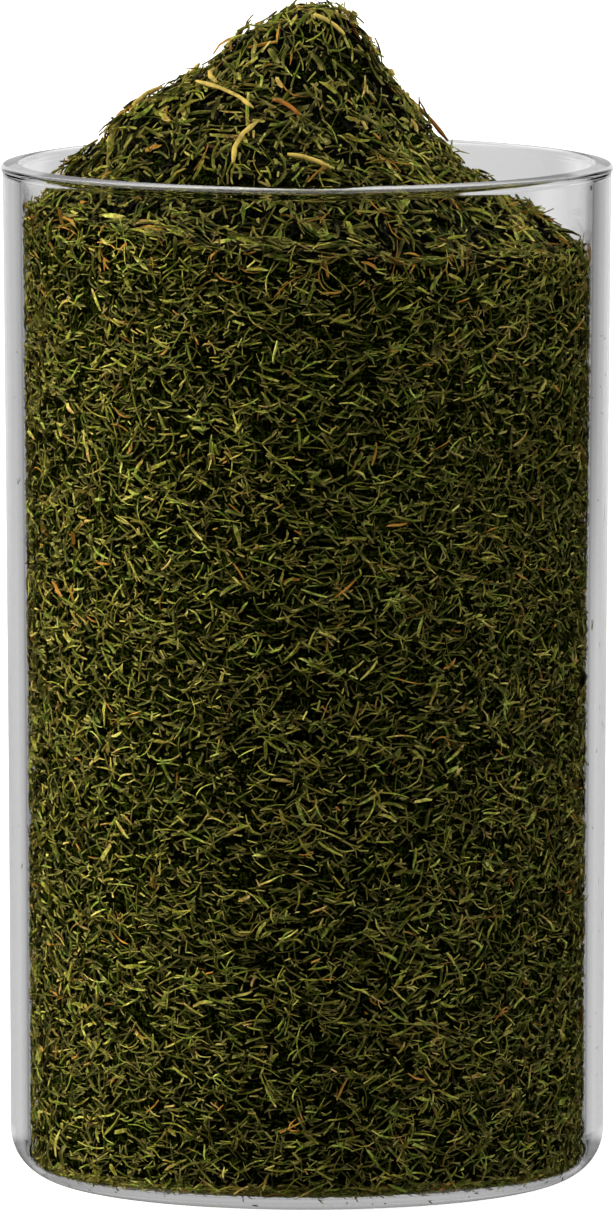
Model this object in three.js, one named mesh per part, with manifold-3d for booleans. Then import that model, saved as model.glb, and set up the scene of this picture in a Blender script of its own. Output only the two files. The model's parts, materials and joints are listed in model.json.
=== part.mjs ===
// Glass tumbler heaped with dried cut dill.
// Millimetres, +Z up. The tumbler stands on z = 0 with its axis on the z axis.

import * as THREE from 'three';
import { mergeVertices } from 'three/addons/utils/BufferGeometryUtils.js';
import Module from 'manifold-3d';

const wasm = await Module();
wasm.setup();

// --- driving dimensions ------------------------------------------------------------------

// tumbler
const GLASS_HEIGHT = 135;
const RIM_RADIUS = 39.8; // outside of the wall, just under the rim bead
const FOOT_RADIUS = 38.9; // outside of the wall, just above the foot round
const FLARE_POWER = 1.5; // 1 is a straight cone, more puts the flare near the rim
const WALL = 2.4;
const BASE = 3.2; // glass under the dill
const FOOT_ROUND = 5.6; // outside corner between wall and underside
const FLOOR_ROUND = 3.4; // inside corner between wall and floor
const BEAD_PROUD = 0.2; // how far the melted rim stands out from the wall
const GLASS_SIDES = 60;

// dill mass
const GAP = 0.3; // between the dill and the glass, and round each stalk
const SIDE_COVER = 0.7; // depth of the layer that the bits along the glass fill
const HEAP_TOP = 19.8; // top of the packed heap above the rim
const HEAP_FLAT = 3.2; // radius of the heap's blunt top
const GENTLE_SLOPE = 0.66; // fall per unit of run, towards -X
const STEEP_SLOPE = 1.26; // the steeper upper face, towards +X
const STEEP_END = 17; // radius where the steep face runs out into an apron
const APRON_SLOPE = 0.71;
const EDGE_DROP = 3.6; // extra fall where the gentle side meets the glass
const EDGE_DROP_WIDTH = 5;
const LUMP_HEIGHT = 0.55; // broad lumps
const CRUMBLE_HEIGHT = 0.4; // short rough lumps of the packed mass under the bits
const CORE_SIDES = 30;
const CORE_RINGS = 8;

// cut bits of leaf, true size
const BIT_LENGTH = [4.5, 8.5];
const BIT_RADIUS = [0.44, 0.6]; // of the three-cornered section
const BIT_BOW = [0.04, 0.14]; // bow of a loose bit, as a part of its length
const BIT_FULL = 0.5; // part of a loose bit's length that has the full section
const HEAP_LEAN = [0.06, 0.62]; // radians out of the surface
const HEAP_LIFT = [-0.45, 0]; // centre of a bit above the surface it lies on
const LEAN_LIFT = 0.9; // extra lift of a bit that stands out, times the sine of its lean
const HEAP_MARGIN = 1.6; // between the outermost bits and the gap at the glass
const HEAP_EDGE = 3; // width of the outer band where bits lie along the glass
const SIDE_TILT = 0.6; // radians from level, either way
const SIDE_MARGIN = 0.16; // between a pressed bit and the gap at the glass
const SIDE_TOP_MARGIN = 3; // from the highest pressed bit to the heap's edge
const FLOOR_MARGIN = 3;
const HEAP_BITS = 220;
const SIDE_BITS = 165;
const FLOOR_BITS = 20;
const SEED = 26;
const SLIVER = 0.02; // edges shorter than this are closed up

// stalk bits
const STALK_SIDES = 6;
const STALK_STEPS = 3;
const STALK_BOW = 0.35; // how far a stalk's middle stands off the line through its ends
const STALK_LIFT = 0.75; // centre of a stalk's ends above the heap, times its width

const GOLDEN_ANGLE = Math.PI * (3 - Math.sqrt(5));

// --- small helpers -----------------------------------------------------------------------

// Repeatable random numbers from 0 to 1.
function seededRandom(seed) {
  let state = seed;
  return () => {
    state = (state + 0x6d2b79f5) | 0;
    let mixed = Math.imul(state ^ (state >>> 15), 1 | state);
    mixed = (mixed + Math.imul(mixed ^ (mixed >>> 7), 61 | mixed)) ^ mixed;
    return ((mixed ^ (mixed >>> 14)) >>> 0) / 4294967296;
  };
}

const random = seededRandom(SEED);
const between = (low, high) => low + (high - low) * random();
const clamp = THREE.MathUtils.clamp;

// Points of an arc in the (radius, height) plane, both ends included.
function arc(centreRadius, centreHeight, radius, fromDegrees, toDegrees, steps) {
  return Array.from({ length: steps + 1 }, (_, i) => {
    const angle = THREE.MathUtils.degToRad(fromDegrees + ((toDegrees - fromDegrees) * i) / steps);
    return new THREE.Vector2(
      centreRadius + radius * Math.cos(angle),
      centreHeight + radius * Math.sin(angle),
    );
  });
}

// A lathe turned about +Z instead of +Y.
function turned(profile, sides) {
  return new THREE.LatheGeometry(profile, sides).rotateX(Math.PI / 2);
}

// A closed geometry as a solid that can be joined and cut.
function solid(geometry) {
  const bare = geometry.clone();
  bare.deleteAttribute('normal');
  bare.deleteAttribute('uv');
  const welded = mergeVertices(bare, 1e-5);
  const index = welded.index.array;
  // A lathe closes on its axis with triangles of no area: they are left out.
  const triangles = [];
  for (let i = 0; i < index.length; i += 3) {
    const [a, b, c] = [index[i], index[i + 1], index[i + 2]];
    if (a !== b && b !== c && c !== a) triangles.push(a, b, c);
  }
  return new wasm.Manifold(
    new wasm.Mesh({
      numProp: 3,
      vertProperties: new Float32Array(welded.attributes.position.array),
      triVerts: new Uint32Array(triangles),
    }),
  );
}

// A solid as a geometry to show.
function geometryOf(body) {
  const mesh = body.getMesh();
  const geometry = new THREE.BufferGeometry();
  geometry.setAttribute('position', new THREE.BufferAttribute(mesh.vertProperties, 3));
  geometry.setIndex(new THREE.BufferAttribute(mesh.triVerts, 1));
  geometry.computeVertexNormals();
  return geometry;
}

// --- tumbler -----------------------------------------------------------------------------

// Outside radius of the wall at a height: a slight flare that grows towards the rim.
function outsideRadius(z) {
  return FOOT_RADIUS + (RIM_RADIUS - FOOT_RADIUS) * (clamp(z, 0, GLASS_HEIGHT) / GLASS_HEIGHT) ** FLARE_POWER;
}

const insideRadius = (z) => outsideRadius(z) - WALL;

function tumblerGeometry() {
  const bead = (WALL + BEAD_PROUD) / 2;
  const beadCentre = RIM_RADIUS + BEAD_PROUD - bead;
  const wallHeights = [0.3, 0.55, 0.8].map((part) => part * GLASS_HEIGHT);
  const footFlat = FOOT_RADIUS - FOOT_ROUND;
  const floorFlat = insideRadius(BASE) - FLOOR_ROUND;
  const profile = [
    new THREE.Vector2(0, 0),
    ...arc(footFlat, FOOT_ROUND, FOOT_ROUND, -90, 0, 5),
    ...wallHeights.map((z) => new THREE.Vector2(outsideRadius(z), z)),
    ...arc(beadCentre, GLASS_HEIGHT - bead, bead, -30, 200, 7),
    ...wallHeights.toReversed().map((z) => new THREE.Vector2(insideRadius(z), z)),
    ...arc(floorFlat, BASE + FLOOR_ROUND, FLOOR_ROUND, 0, -90, 3),
    new THREE.Vector2(0, BASE),
  ];
  return turned(profile, GLASS_SIDES);
}

// --- heap of dill ------------------------------------------------------------------------

// Height of the packed dill above the rim: a blunt peak on the axis, steep above and spreading
// below on the +X side, one even slope on the -X side, with gentle lumps all over.
function heapHeight(x, y) {
  const radius = Math.hypot(x, y);
  const toRight = 0.5 + (0.5 * x) / Math.max(radius, 1);
  const run = Math.max(0, radius - HEAP_FLAT);
  const wallRadius = insideRadius(GLASS_HEIGHT);
  const edge = clamp((radius - wallRadius + EDGE_DROP_WIDTH) / EDGE_DROP_WIDTH, 0, 1);
  const gentle = GENTLE_SLOPE * run + EDGE_DROP * edge;
  const steepRun = Math.min(run, STEEP_END - HEAP_FLAT);
  const steep = STEEP_SLOPE * steepRun + APRON_SLOPE * (run - steepRun);
  const lumps = Math.sin(0.31 * x + 1.2) * Math.cos(0.27 * y - 0.4) + 0.5 * Math.sin(0.55 * y + 0.35 * x);
  return HEAP_TOP - THREE.MathUtils.lerp(gentle, steep, toRight) + LUMP_HEIGHT * lumps;
}

// Outward direction of the heap's surface.
function heapNormal(x, y) {
  const step = 0.5;
  const slopeX = (heapHeight(x + step, y) - heapHeight(x - step, y)) / (2 * step);
  const slopeY = (heapHeight(x, y + step) - heapHeight(x, y - step)) / (2 * step);
  return new THREE.Vector3(-slopeX, -slopeY, 1).normalize();
}

// Short rough lumps, about as far apart as the core's own points.
const crumble = (x, y) => CRUMBLE_HEIGHT * Math.sin(2.3 * x + 0.9 * y + 0.7) * Math.sin(1.9 * y - 1.1 * x);

// The packed mass under the bits. It is turned with a flat top, and the top is then raised
// into the heap.
function coreSolid() {
  const coreRadius = (z) => insideRadius(z) - GAP - SIDE_COVER;
  const floor = BASE + GAP + SIDE_COVER / 2;
  const floorFlat = coreRadius(BASE) - FLOOR_ROUND;
  const topRadius = coreRadius(GLASS_HEIGHT);
  const rings = Array.from({ length: CORE_RINGS }, (_, i) => topRadius * (1 - i / CORE_RINGS));
  const geometry = turned(
    [
      new THREE.Vector2(0, floor),
      ...arc(floorFlat, floor + FLOOR_ROUND, FLOOR_ROUND, -90, 0, 2),
      new THREE.Vector2(coreRadius(GLASS_HEIGHT / 2), GLASS_HEIGHT / 2),
      ...rings.map((radius) => new THREE.Vector2(radius, GLASS_HEIGHT)),
      new THREE.Vector2(0, GLASS_HEIGHT),
    ],
    CORE_SIDES,
  );
  const position = geometry.attributes.position;
  for (let i = 0; i < position.count; i++) {
    const [x, y, z] = [position.getX(i), position.getY(i), position.getZ(i)];
    if (z > GLASS_HEIGHT - 1) position.setZ(i, GLASS_HEIGHT + heapHeight(x, y) + crumble(x, y));
  }
  return solid(geometry);
}

// One bit: a three-cornered sliver with pointed ends, centred on a point. along is the
// direction it lies in. A loose bit is bowed towards out, and a pressed one is straight.
function bitSolid(centre, along, out, loose) {
  const length = between(...BIT_LENGTH);
  const radius = between(...BIT_RADIUS);
  const bow = loose ? length * between(...BIT_BOW) : 0;
  const widest = loose ? [-BIT_FULL, BIT_FULL] : [0];
  const sliver = new THREE.LatheGeometry(
    [
      new THREE.Vector2(0, -length / 2),
      ...widest.map((part) => new THREE.Vector2(radius, (part * length) / 2)),
      new THREE.Vector2(0, length / 2),
    ],
    3,
  );
  const position = sliver.attributes.position;
  for (let i = 0; i < position.count; i++) {
    const part = position.getY(i) / (length / 2);
    position.setZ(i, position.getZ(i) + bow * (0.5 - part * part));
  }
  const side = new THREE.Vector3().crossVectors(along, out).normalize();
  const facing = new THREE.Vector3().crossVectors(side, along).normalize();
  const place = new THREE.Matrix4().makeBasis(side, along, facing).setPosition(centre);
  return solid(sliver.applyMatrix4(place));
}

// Bits on the heap, evenly spread by the golden angle out to the glass. Each lies on the
// surface or leans out of it, with one end well inside the mass.
function heapBits() {
  const reach = insideRadius(GLASS_HEIGHT) - GAP - HEAP_MARGIN;
  return Array.from({ length: HEAP_BITS }, (_, i) => {
    const radius = reach * Math.sqrt((i + 0.5) / HEAP_BITS);
    const angle = i * GOLDEN_ANGLE;
    const x = radius * Math.cos(angle);
    const y = radius * Math.sin(angle);
    const normal = heapNormal(x, y);
    // The direction across the turn is along the slope, and at the glass it follows the glass.
    const turn = radius > reach - HEAP_EDGE ? angle : between(0, 2 * Math.PI);
    const level = new THREE.Vector3(Math.cos(turn), Math.sin(turn), 0).cross(normal).normalize();
    const lean = between(...HEAP_LEAN) * (radius > reach - HEAP_EDGE ? 0.3 : 1);
    const along = level.multiplyScalar(Math.cos(lean)).addScaledVector(normal, Math.sin(lean));
    const centre = new THREE.Vector3(x, y, GLASS_HEIGHT + heapHeight(x, y));
    centre.addScaledVector(normal, between(...HEAP_LIFT) + LEAN_LIFT * Math.sin(lean));
    return bitSolid(centre, along, normal, true);
  });
}

// Bits pressed against the glass, on a rising golden-angle spiral, most of them near level.
function sideBits() {
  const low = BASE + FLOOR_ROUND + BIT_RADIUS[1];
  return Array.from({ length: SIDE_BITS }, (_, i) => {
    const angle = i * GOLDEN_ANGLE;
    const out = new THREE.Vector3(Math.cos(angle), Math.sin(angle), 0);
    const edge = insideRadius(GLASS_HEIGHT);
    const high = GLASS_HEIGHT + heapHeight(edge * out.x, edge * out.y) - SIDE_TOP_MARGIN;
    const z = THREE.MathUtils.lerp(low, high, (i + 0.5) / SIDE_BITS);
    const tilt = between(-SIDE_TILT, SIDE_TILT);
    const along = new THREE.Vector3(-out.y * Math.cos(tilt), out.x * Math.cos(tilt), Math.sin(tilt));
    const depth = GAP + SIDE_MARGIN + BIT_RADIUS[1];
    const centre = out.clone().multiplyScalar(insideRadius(z) - depth).setZ(z);
    return bitSolid(centre, along, out, false);
  });
}

// Bits on the floor of the glass, seen from below.
function floorBits() {
  const reach = insideRadius(BASE) - FLOOR_ROUND - FLOOR_MARGIN;
  const z = BASE + GAP + BIT_RADIUS[1];
  return Array.from({ length: FLOOR_BITS }, (_, i) => {
    const radius = reach * Math.sqrt((i + 0.5) / FLOOR_BITS);
    const angle = i * GOLDEN_ANGLE;
    const turn = between(0, Math.PI);
    const centre = new THREE.Vector3(radius * Math.cos(angle), radius * Math.sin(angle), z);
    const along = new THREE.Vector3(Math.cos(turn), Math.sin(turn), 0);
    return bitSolid(centre, along, new THREE.Vector3(0, 0, 1), false);
  });
}

// --- stalk bits --------------------------------------------------------------------------

// Straw and brown bits of stalk lying on the heap: both ends in plan, then the width.
const FRONT_STALKS = [
  { from: [-9.9, -25.5], to: [-6.9, -18.5], width: 1.2, straw: true },
  { from: [-4.3, -15.5], to: [-0.8, -17.5], width: 1.1, straw: false },
  { from: [-14.1, -9.5], to: [-6.5, -17], width: 1, straw: true },
  { from: [-2.4, -22.5], to: [3.3, -24], width: 1.2, straw: true },
  { from: [-12.4, -5], to: [-12, -9.5], width: 1.3, straw: true },
  { from: [0.9, -6.2], to: [4.9, -6.4], width: 1.1, straw: true },
];

// The stalks of the sides and back, spread over a sector by a rule.
const BACK_STALKS = 8;
const BACK_SECTOR = [-20, 200]; // degrees round the axis from +X
const BACK_RADIUS = [11, 24];
const BACK_HALF_LENGTH = [2.2, 3.6];
const BACK_WIDTH = [1, 1.3];
const BROWN_EVERY = 4; // one in so many is brown

function backStalk(i) {
  const part = (i + 0.5) / BACK_STALKS;
  const angle = THREE.MathUtils.degToRad(THREE.MathUtils.lerp(...BACK_SECTOR, part));
  const radius = THREE.MathUtils.lerp(...BACK_RADIUS, (i * GOLDEN_ANGLE) % 1);
  const turn = between(0, Math.PI);
  const half = between(...BACK_HALF_LENGTH);
  const [x, y] = [radius * Math.cos(angle), radius * Math.sin(angle)];
  const [stepX, stepY] = [half * Math.cos(turn), half * Math.sin(turn)];
  return {
    from: [x - stepX, y - stepY],
    to: [x + stepX, y + stepY],
    width: between(...BACK_WIDTH),
    straw: i % BROWN_EVERY !== 1,
  };
}

// A stalk bit lying on the heap, as a round stick of the given radius.
function stalkGeometry(plan, radius, overrun) {
  const lift = STALK_LIFT * plan.width;
  const end = ([x, y]) => new THREE.Vector3(x, y, GLASS_HEIGHT + heapHeight(x, y) + lift);
  const from = end(plan.from);
  const to = end(plan.to);
  const along = to.clone().sub(from).normalize();
  from.addScaledVector(along, -overrun);
  to.addScaledVector(along, overrun);
  const middle = from.clone().lerp(to, 0.5);
  middle.addScaledVector(heapNormal(middle.x, middle.y), 2 * STALK_BOW);
  const section = new THREE.Shape(
    Array.from({ length: STALK_SIDES }, (_, i) => {
      const angle = (2 * Math.PI * i) / STALK_SIDES;
      return new THREE.Vector2(radius * Math.cos(angle), radius * Math.sin(angle));
    }),
  );
  return new THREE.ExtrudeGeometry(section, {
    steps: STALK_STEPS,
    extrudePath: new THREE.QuadraticBezierCurve3(from, middle, to),
  });
}

// --- assembly ----------------------------------------------------------------------------

// The largest closed body of a solid: what a cut leaves loose, and any pocket sealed in by
// the joining, is dropped.
function largestBody(body) {
  const bodies = body.decompose();
  return bodies.reduce((best, next) => (next.volume() > best.volume() ? next : best));
}

function dillSolid(stalks) {
  let dill = coreSolid();
  for (const bit of [...heapBits(), ...sideBits(), ...floorBits()]) dill = dill.add(bit);
  for (const plan of stalks) {
    dill = dill.subtract(solid(stalkGeometry(plan, plan.width / 2 + GAP, GAP)));
  }
  return largestBody(dill.simplify(SLIVER));
}

const glassMaterial = new THREE.MeshStandardMaterial({
  color: 0xe6ebe9,
  roughness: 0.05,
  metalness: 0,
  transparent: true,
  opacity: 0.3,
});
const dillMaterial = new THREE.MeshStandardMaterial({ color: 0x5a591d, roughness: 0.85, metalness: 0 });
const strawMaterial = new THREE.MeshStandardMaterial({ color: 0xb3a052, roughness: 0.7, metalness: 0 });
const brownMaterial = new THREE.MeshStandardMaterial({ color: 0x9a5f2a, roughness: 0.7, metalness: 0 });

function named(name, geometry, material) {
  const mesh = new THREE.Mesh(geometry, material);
  mesh.name = name;
  return mesh;
}

const stalks = [...FRONT_STALKS, ...Array.from({ length: BACK_STALKS }, (_, i) => backStalk(i))];
const group = new THREE.Group();
group.add(named('glass_tumbler', tumblerGeometry(), glassMaterial));
group.add(named('dill_fill', geometryOf(dillSolid(stalks)), dillMaterial));
stalks.forEach((plan, i) => {
  const name = `stalk_bit_${String(i + 1).padStart(2, '0')}`;
  group.add(named(name, stalkGeometry(plan, plan.width / 2, 0), plan.straw ? strawMaterial : brownMaterial));
});

export default group;
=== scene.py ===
"""A glass tumbler heaped with dried cut dill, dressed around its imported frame."""
import json
import math
import random

import bmesh
import bpy
import numpy as np
from bpy.props import FloatProperty, FloatVectorProperty, IntProperty, PointerProperty
from mathutils import Matrix, Vector, noise


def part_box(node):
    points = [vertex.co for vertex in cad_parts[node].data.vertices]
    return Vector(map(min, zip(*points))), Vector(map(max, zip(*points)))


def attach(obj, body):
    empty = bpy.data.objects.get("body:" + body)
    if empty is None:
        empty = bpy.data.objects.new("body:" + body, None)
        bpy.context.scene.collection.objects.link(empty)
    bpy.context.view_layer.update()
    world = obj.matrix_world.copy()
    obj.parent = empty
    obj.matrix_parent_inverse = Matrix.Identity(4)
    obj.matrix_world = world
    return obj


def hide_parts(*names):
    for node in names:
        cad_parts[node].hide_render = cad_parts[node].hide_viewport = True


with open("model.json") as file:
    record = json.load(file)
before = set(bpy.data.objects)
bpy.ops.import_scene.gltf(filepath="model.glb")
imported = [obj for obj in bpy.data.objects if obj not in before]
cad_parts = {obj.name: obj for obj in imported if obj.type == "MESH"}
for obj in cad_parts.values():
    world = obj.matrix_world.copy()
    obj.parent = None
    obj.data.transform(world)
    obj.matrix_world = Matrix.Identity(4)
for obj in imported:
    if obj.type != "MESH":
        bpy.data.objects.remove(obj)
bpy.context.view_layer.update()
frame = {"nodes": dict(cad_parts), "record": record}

bl_info = {
    "name": "Glass of Dried Dill",
    "version": (1, 0, 0),
    "blender": (4, 5, 0),
    "location": "View3D > Sidebar > Dill",
    "description": "Dresses a glass tumbler heaped with dried cut dill",
    "category": "Add Mesh",
}

MM = 0.001
BODY = "root"
GLASS_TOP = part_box("glass_tumbler")[1].z
BIT_MAP = "OFBake"
# Half the width of one bit on its square of the flat map.
HALF_MAP = 0.42
SAME_POINT = 1e-6
# Each bit draws a tone from 0, darkest, to 1. Above this one it is rusty.
RUSTY_TONE = 0.952


def linear(red, green, blue):
    """A colour given as 0 to 255 on the screen, as the numbers that a shader takes."""
    def one(level):
        level /= 255
        return level / 12.92 if level <= 0.04045 else ((level + 0.055) / 1.055) ** 2.4
    return (one(red), one(green), one(blue), 1.0)


def length_property(name, description, millimetres):
    return FloatProperty(
        name=name, description=description, default=millimetres * MM,
        subtype="DISTANCE", unit="LENGTH", precision=5,
    )


def level_property(name, description, default):
    return FloatProperty(name=name, description=description, default=default, min=0)


def count_property(name, description, default):
    return IntProperty(name=name, description=description, default=default, min=0)


def colour_property(name, description, *screen):
    return FloatVectorProperty(
        name=name, description=description, default=linear(*screen),
        subtype="COLOR", size=4, min=0, max=1,
    )


# --- settings ----------------------------------------------------------------------------


class TumblerSettings(bpy.types.PropertyGroup):
    height: FloatProperty(
        name="Height", description="From the table to the top of the rim",
        default=round(GLASS_TOP - 1.35 * MM, 5), subtype="DISTANCE", unit="LENGTH", precision=5,
    )
    rim_radius: length_property("Rim radius", "Outside of the wall under the rim bead", 39.8)
    foot_radius: length_property("Foot radius", "Outside of the wall above the foot round", 38.9)
    wall: length_property("Wall", "Thickness of the side wall", 2.4)
    base: length_property("Base", "Thickness of the glass under the dill", 1.6)
    foot_round: length_property("Foot round", "Outside corner between wall and underside", 6.6)
    floor_round: length_property("Floor round", "Inside corner between wall and floor", 3.9)
    bead: length_property("Bead", "How far the melted rim stands out from the wall", 0.2)
    flare: FloatProperty(
        name="Flare", description="Higher puts the flare nearer the rim", default=1.5, min=1,
    )
    crumb_turn: FloatProperty(
        name="Crumb turn", description="Where a crumb clings to the wall, round from the right",
        default=math.radians(-16), subtype="ANGLE",
    )
    sides: IntProperty(name="Sides", description="Steps round the tumbler", default=144, min=24)
    ior: FloatProperty(
        name="Bending", description="Index of refraction", default=1.45, min=1, max=2,
    )
    grey: level_property("Grey", "Light lost per metre of glass", 4)


class DillSettings(bpy.types.PropertyGroup):
    heap_top: length_property("Heap top", "Top of the packed heap above the rim", 20.6)
    heap_bits: count_property("Heap bits", "Cut bits in the surface of the heap", 7800)
    loose_bits: count_property("Loose bits", "Bits lying loose on the heap", 700)
    side_bits: count_property("Side bits", "Cut bits seen through the wall", 50000)
    floor_bits: count_property("Floor bits", "Cut bits seen through the base", 1300)
    seed: IntProperty(name="Seed", description="Starts the random draw of the bits", default=5)
    dark: colour_property("Dark leaf", "The darkest bits of leaf", 11, 16, 4)
    olive: colour_property("Olive leaf", "The commonest bits of leaf", 53, 66, 15)
    bright: colour_property("Bright leaf", "Yellow-green bits of leaf", 143, 146, 48)
    pale: colour_property("Pale leaf", "Bits faded to straw", 226, 208, 124)
    orange: colour_property("Orange leaf", "Rusty bits", 172, 122, 50)
    # Painted shade: the near-black colour of the packed mass stands in for the shade between the
    # bits.
    shade: colour_property("Shade", "The packed mass between the bits", 5, 5, 1)


class StalkSettings(bpy.types.PropertyGroup):
    straw: colour_property("Straw", "Pale stalk bits", 206, 180, 92)
    brown: colour_property("Brown", "Orange brown stalk bits", 158, 98, 34)


class StageSettings(bpy.types.PropertyGroup):
    camera_distance: FloatProperty(
        name="Camera distance", description="From the camera to the tumbler's axis",
        default=2.6, subtype="DISTANCE", unit="LENGTH",
    )
    camera_pitch: FloatProperty(
        name="Camera pitch", description="How far the camera looks down",
        default=math.radians(6.3), subtype="ANGLE",
    )
    aim_height: FloatProperty(
        name="Aim height", description="Height on the axis at the middle of the picture",
        default=0.0751, subtype="DISTANCE", unit="LENGTH", precision=4,
    )
    picture_height: FloatProperty(
        name="Picture height", description="Height of what the picture takes in",
        default=0.1588, subtype="DISTANCE", unit="LENGTH", precision=4,
    )
    key: level_property("Key", "Strength of the high soft light", 1.9)
    side: level_property("Side", "Strength of the low light from the left", 3.0)
    fill: level_property("Fill", "Strength of the light from the right", 1.95)
    key_colour: colour_property("Key colour", "Colour of the high soft light", 255, 252, 243)
    side_colour: colour_property("Side colour", "Colour of the low light", 255, 246, 218)
    fill_colour: colour_property("Fill colour", "Colour of the light from the right", 255, 252, 246)
    sky: level_property("Sky", "Strength of the light from all round", 0.05)
    backdrop: level_property("Backdrop", "Brightness seen through the glass", 0.69)
    overhead: level_property("Overhead", "Brightness mirrored by the rim", 2.5)
    floor: colour_property("Floor", "Colour of the pale floor", 248, 248, 248)
    floor_glow: level_property("Floor glow", "Light that the floor gives off", 0.75)


# --- materials ---------------------------------------------------------------------------


class Link:
    """An output socket, to be used in sums and products."""

    def __init__(self, maker, socket):
        self.maker = maker
        self.socket = socket

    def _sum(self, operation, first, second):
        return self.maker.add("ShaderNodeMath", {"operation": operation}, {0: first, 1: second})

    def __add__(self, other):
        return self._sum("ADD", self, other)

    def __radd__(self, other):
        return self._sum("ADD", other, self)

    def __sub__(self, other):
        return self._sum("SUBTRACT", self, other)

    def __rsub__(self, other):
        return self._sum("SUBTRACT", other, self)

    def __mul__(self, other):
        return self._sum("MULTIPLY", self, other)

    def __rmul__(self, other):
        return self._sum("MULTIPLY", other, self)

    def __pow__(self, other):
        return self._sum("POWER", self, other)

    def __gt__(self, other):
        return self._sum("GREATER_THAN", self, other)

    def __lt__(self, other):
        return self._sum("LESS_THAN", self, other)


class Maker:
    """Makes one material, or the world, out of nodes."""

    def __init__(self, owner):
        owner.use_nodes = True
        self.owner = owner
        self.tree = owner.node_tree
        self.tree.nodes.clear()

    def add(self, kind, settings=None, sockets=None, out=0):
        """Adds a node: its settings first, then the values or links of its sockets."""
        node = self.tree.nodes.new(kind)
        for name, value in (settings or {}).items():
            if name == "stops":
                self._stops(node.color_ramp, value)
            else:
                setattr(node, name, value)
        for name, value in (sockets or {}).items():
            if isinstance(value, Link):
                self.tree.links.new(value.socket, node.inputs[name])
            else:
                node.inputs[name].default_value = value
        return Link(self, node.outputs[out]) if node.outputs else None

    @staticmethod
    def _stops(ramp, stops):
        while len(ramp.elements) < len(stops):
            ramp.elements.new(0)
        for element, (place, colour) in zip(ramp.elements, stops):
            element.position = place
            element.color = colour

    def ramp(self, factor, stops):
        return self.add("ShaderNodeValToRGB", {"stops": stops}, {"Fac": factor})

    def mix(self, factor, first, second):
        sockets = {0: factor, 6: first, 7: second}
        return self.add("ShaderNodeMix", {"data_type": "RGBA"}, sockets, out=2)

    def noise(self, scale, detail=2.0, roughness=0.5, stretch=(1, 1, 1)):
        """Noise on the piece's own coordinates. scale is in lumps per metre."""
        place = self.add("ShaderNodeTexCoord", out="Object")
        place = self.add("ShaderNodeMapping", {}, {"Vector": place, "Scale": stretch})
        sockets = {"Vector": place, "Scale": scale, "Detail": detail, "Roughness": roughness}
        return self.add("ShaderNodeTexNoise", {}, sockets)

    def axis(self, vector, name):
        return self.add("ShaderNodeSeparateXYZ", {}, {"Vector": vector}, out=name)

    def between(self, value, low, high):
        """Rises from 0 at low to 1 at high."""
        sockets = {"Value": value, "From Min": low, "From Max": high}
        return self.add("ShaderNodeMapRange", {"interpolation_type": "SMOOTHSTEP"}, sockets)

    def attribute(self, name):
        return self.add("ShaderNodeAttribute", {"attribute_name": name}, out="Fac")

    def bump(self, height, strength, distance):
        sockets = {"Height": height, "Strength": strength, "Distance": distance}
        return self.add("ShaderNodeBump", {}, sockets)

    def surface(self, shader, volume=None):
        sockets = {"Surface": shader}
        if volume:
            sockets["Volume"] = volume
        self.add("ShaderNodeOutputMaterial", {}, sockets)
        return self.owner


def tumbler_glass(glass):
    make = Maker(bpy.data.materials.new("clear_glass"))
    smooth = {"Color": (1, 1, 1, 1), "Roughness": 0.0}
    clear = make.add("ShaderNodeBsdfGlass", {}, {**smooth, "IOR": glass.ior})
    # Light from the lamps passes, so that it reaches the dill.
    passing = make.add("ShaderNodeBsdfTransparent")
    lamp_ray = make.add("ShaderNodeLightPath", out="Is Shadow Ray")
    # Light that is mirrored to and fro inside the base gets out after the third turn.
    straight = make.add("ShaderNodeBsdfRefraction", {}, {**smooth, "IOR": 1.0})
    trapped = make.add("ShaderNodeLightPath", out="Glossy Depth") > 2.5
    clear = make.add("ShaderNodeMixShader", {}, {0: trapped, 1: clear, 2: straight})
    shader = make.add("ShaderNodeMixShader", {}, {0: lamp_ray, 1: clear, 2: passing})
    grey = {"Color": (0, 0, 0, 1), "Density": glass.grey}
    return make.surface(shader, make.add("ShaderNodeVolumeAbsorption", {}, grey))


def dill_leaf(dill):
    """Dry leaf. Each bit has its own tone, mottled, greener or browner from place to place, with
    a painted highlight along its ridge, faded cut ends and fine wrinkles. Buried bits are
    darkened by painted shade."""
    make = Maker(bpy.data.materials.new("dry_dill_leaf"))
    mottle = make.noise(1900, detail=3.0, roughness=0.65)
    tone = make.attribute("tone")
    rusty = tone > RUSTY_TONE
    leaf = make.ramp(tone * 0.8 + 0.9 * (mottle - 0.42), [
        (0.0, dill.dark), (0.2, dill.dark), (0.48, dill.olive),
        (0.74, dill.bright), (0.94, dill.pale),
    ])
    variety = make.noise(420, detail=1.0)
    hue = 0.5 + 0.06 * make.between(variety, 0.48, 0.37) - 0.065 * make.between(variety, 0.54, 0.66)
    leaf = make.add("ShaderNodeHueSaturation", {}, {"Hue": hue, "Color": leaf})
    # Painted highlight: the ridge of each bit is mixed towards the bright leaf colour.
    colour = make.mix(make.attribute("ridge") ** 2 * 0.35, leaf, dill.bright)
    colour = make.mix(make.attribute("tip") * 0.25, colour, dill.pale)
    colour = make.mix(rusty * make.between(mottle, 0.3, 0.5), colour, dill.orange)
    # Painted shade: bits that lie buried or in hollows are mixed towards the near-black shade
    # colour.
    colour = make.mix(make.attribute("deep"), colour, dill.shade)
    wrinkles = make.noise(6000, detail=2.0)
    shader = make.add("ShaderNodeBsdfPrincipled", {}, {
        "Base Color": colour,
        "Roughness": 0.3 + 0.4 * mottle,
        "Specular IOR Level": 0.08,
        "Normal": make.bump(wrinkles, strength=0.7, distance=0.1 * MM),
    })
    return make.surface(shader)


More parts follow.
